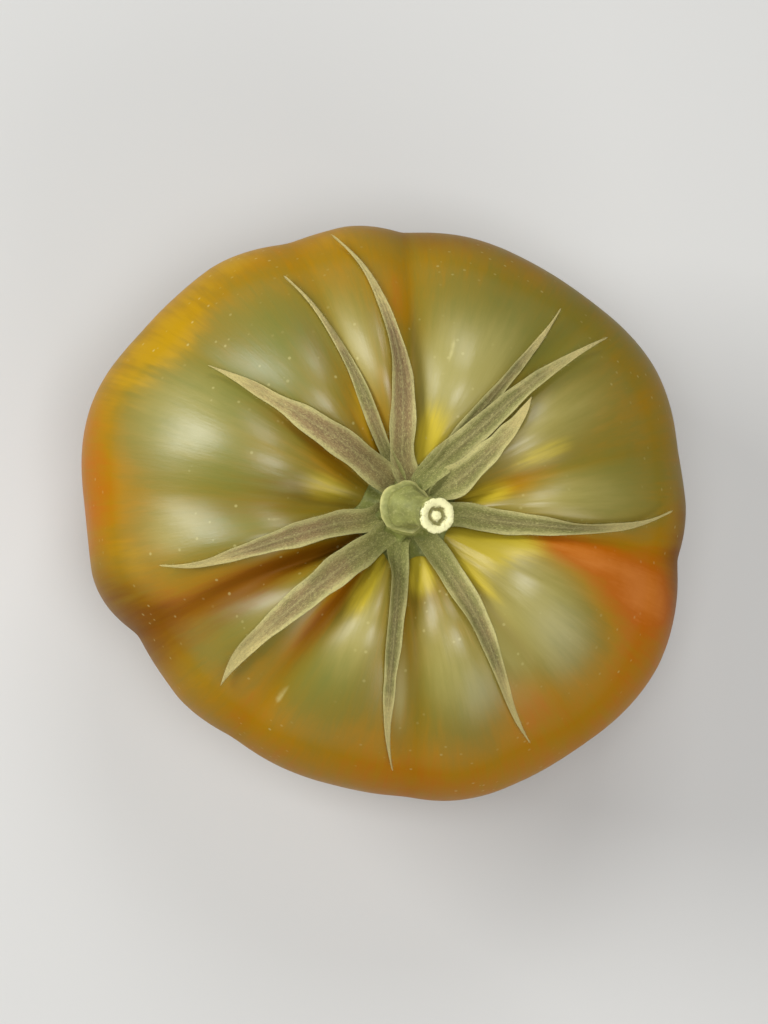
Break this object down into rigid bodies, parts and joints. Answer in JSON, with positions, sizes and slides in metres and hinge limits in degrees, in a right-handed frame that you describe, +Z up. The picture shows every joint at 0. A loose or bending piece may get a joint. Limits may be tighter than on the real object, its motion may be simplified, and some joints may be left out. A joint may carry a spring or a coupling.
{
  "type": "black raf tomato",
  "caption": "Ribbed, flattened tomato with a sunken stem end, a star of narrow dry-tipped sepals and a short cut stem, resting on its blossom end.",
  "frame": {"origin": "middle of the outline on the surface that the fruit rests on", "axes": "+Z up along the fruit's axis, +X along the fruit's widest direction"},
  "size_m": [0.0754, 0.072, 0.0559],
  "materials": {
    "skin": "satin, olive green shoulders turning amber and orange towards the rim",
    "sepal": "matte, grey-green with straw-coloured tips and fine hairs",
    "stem": "matte green with a cream cut end"
  },
  "bodies": {
    "root": {"fruit": "skin", "calyx": "sepal", "pedicel": "stem"}
  },
  "joints": []
}
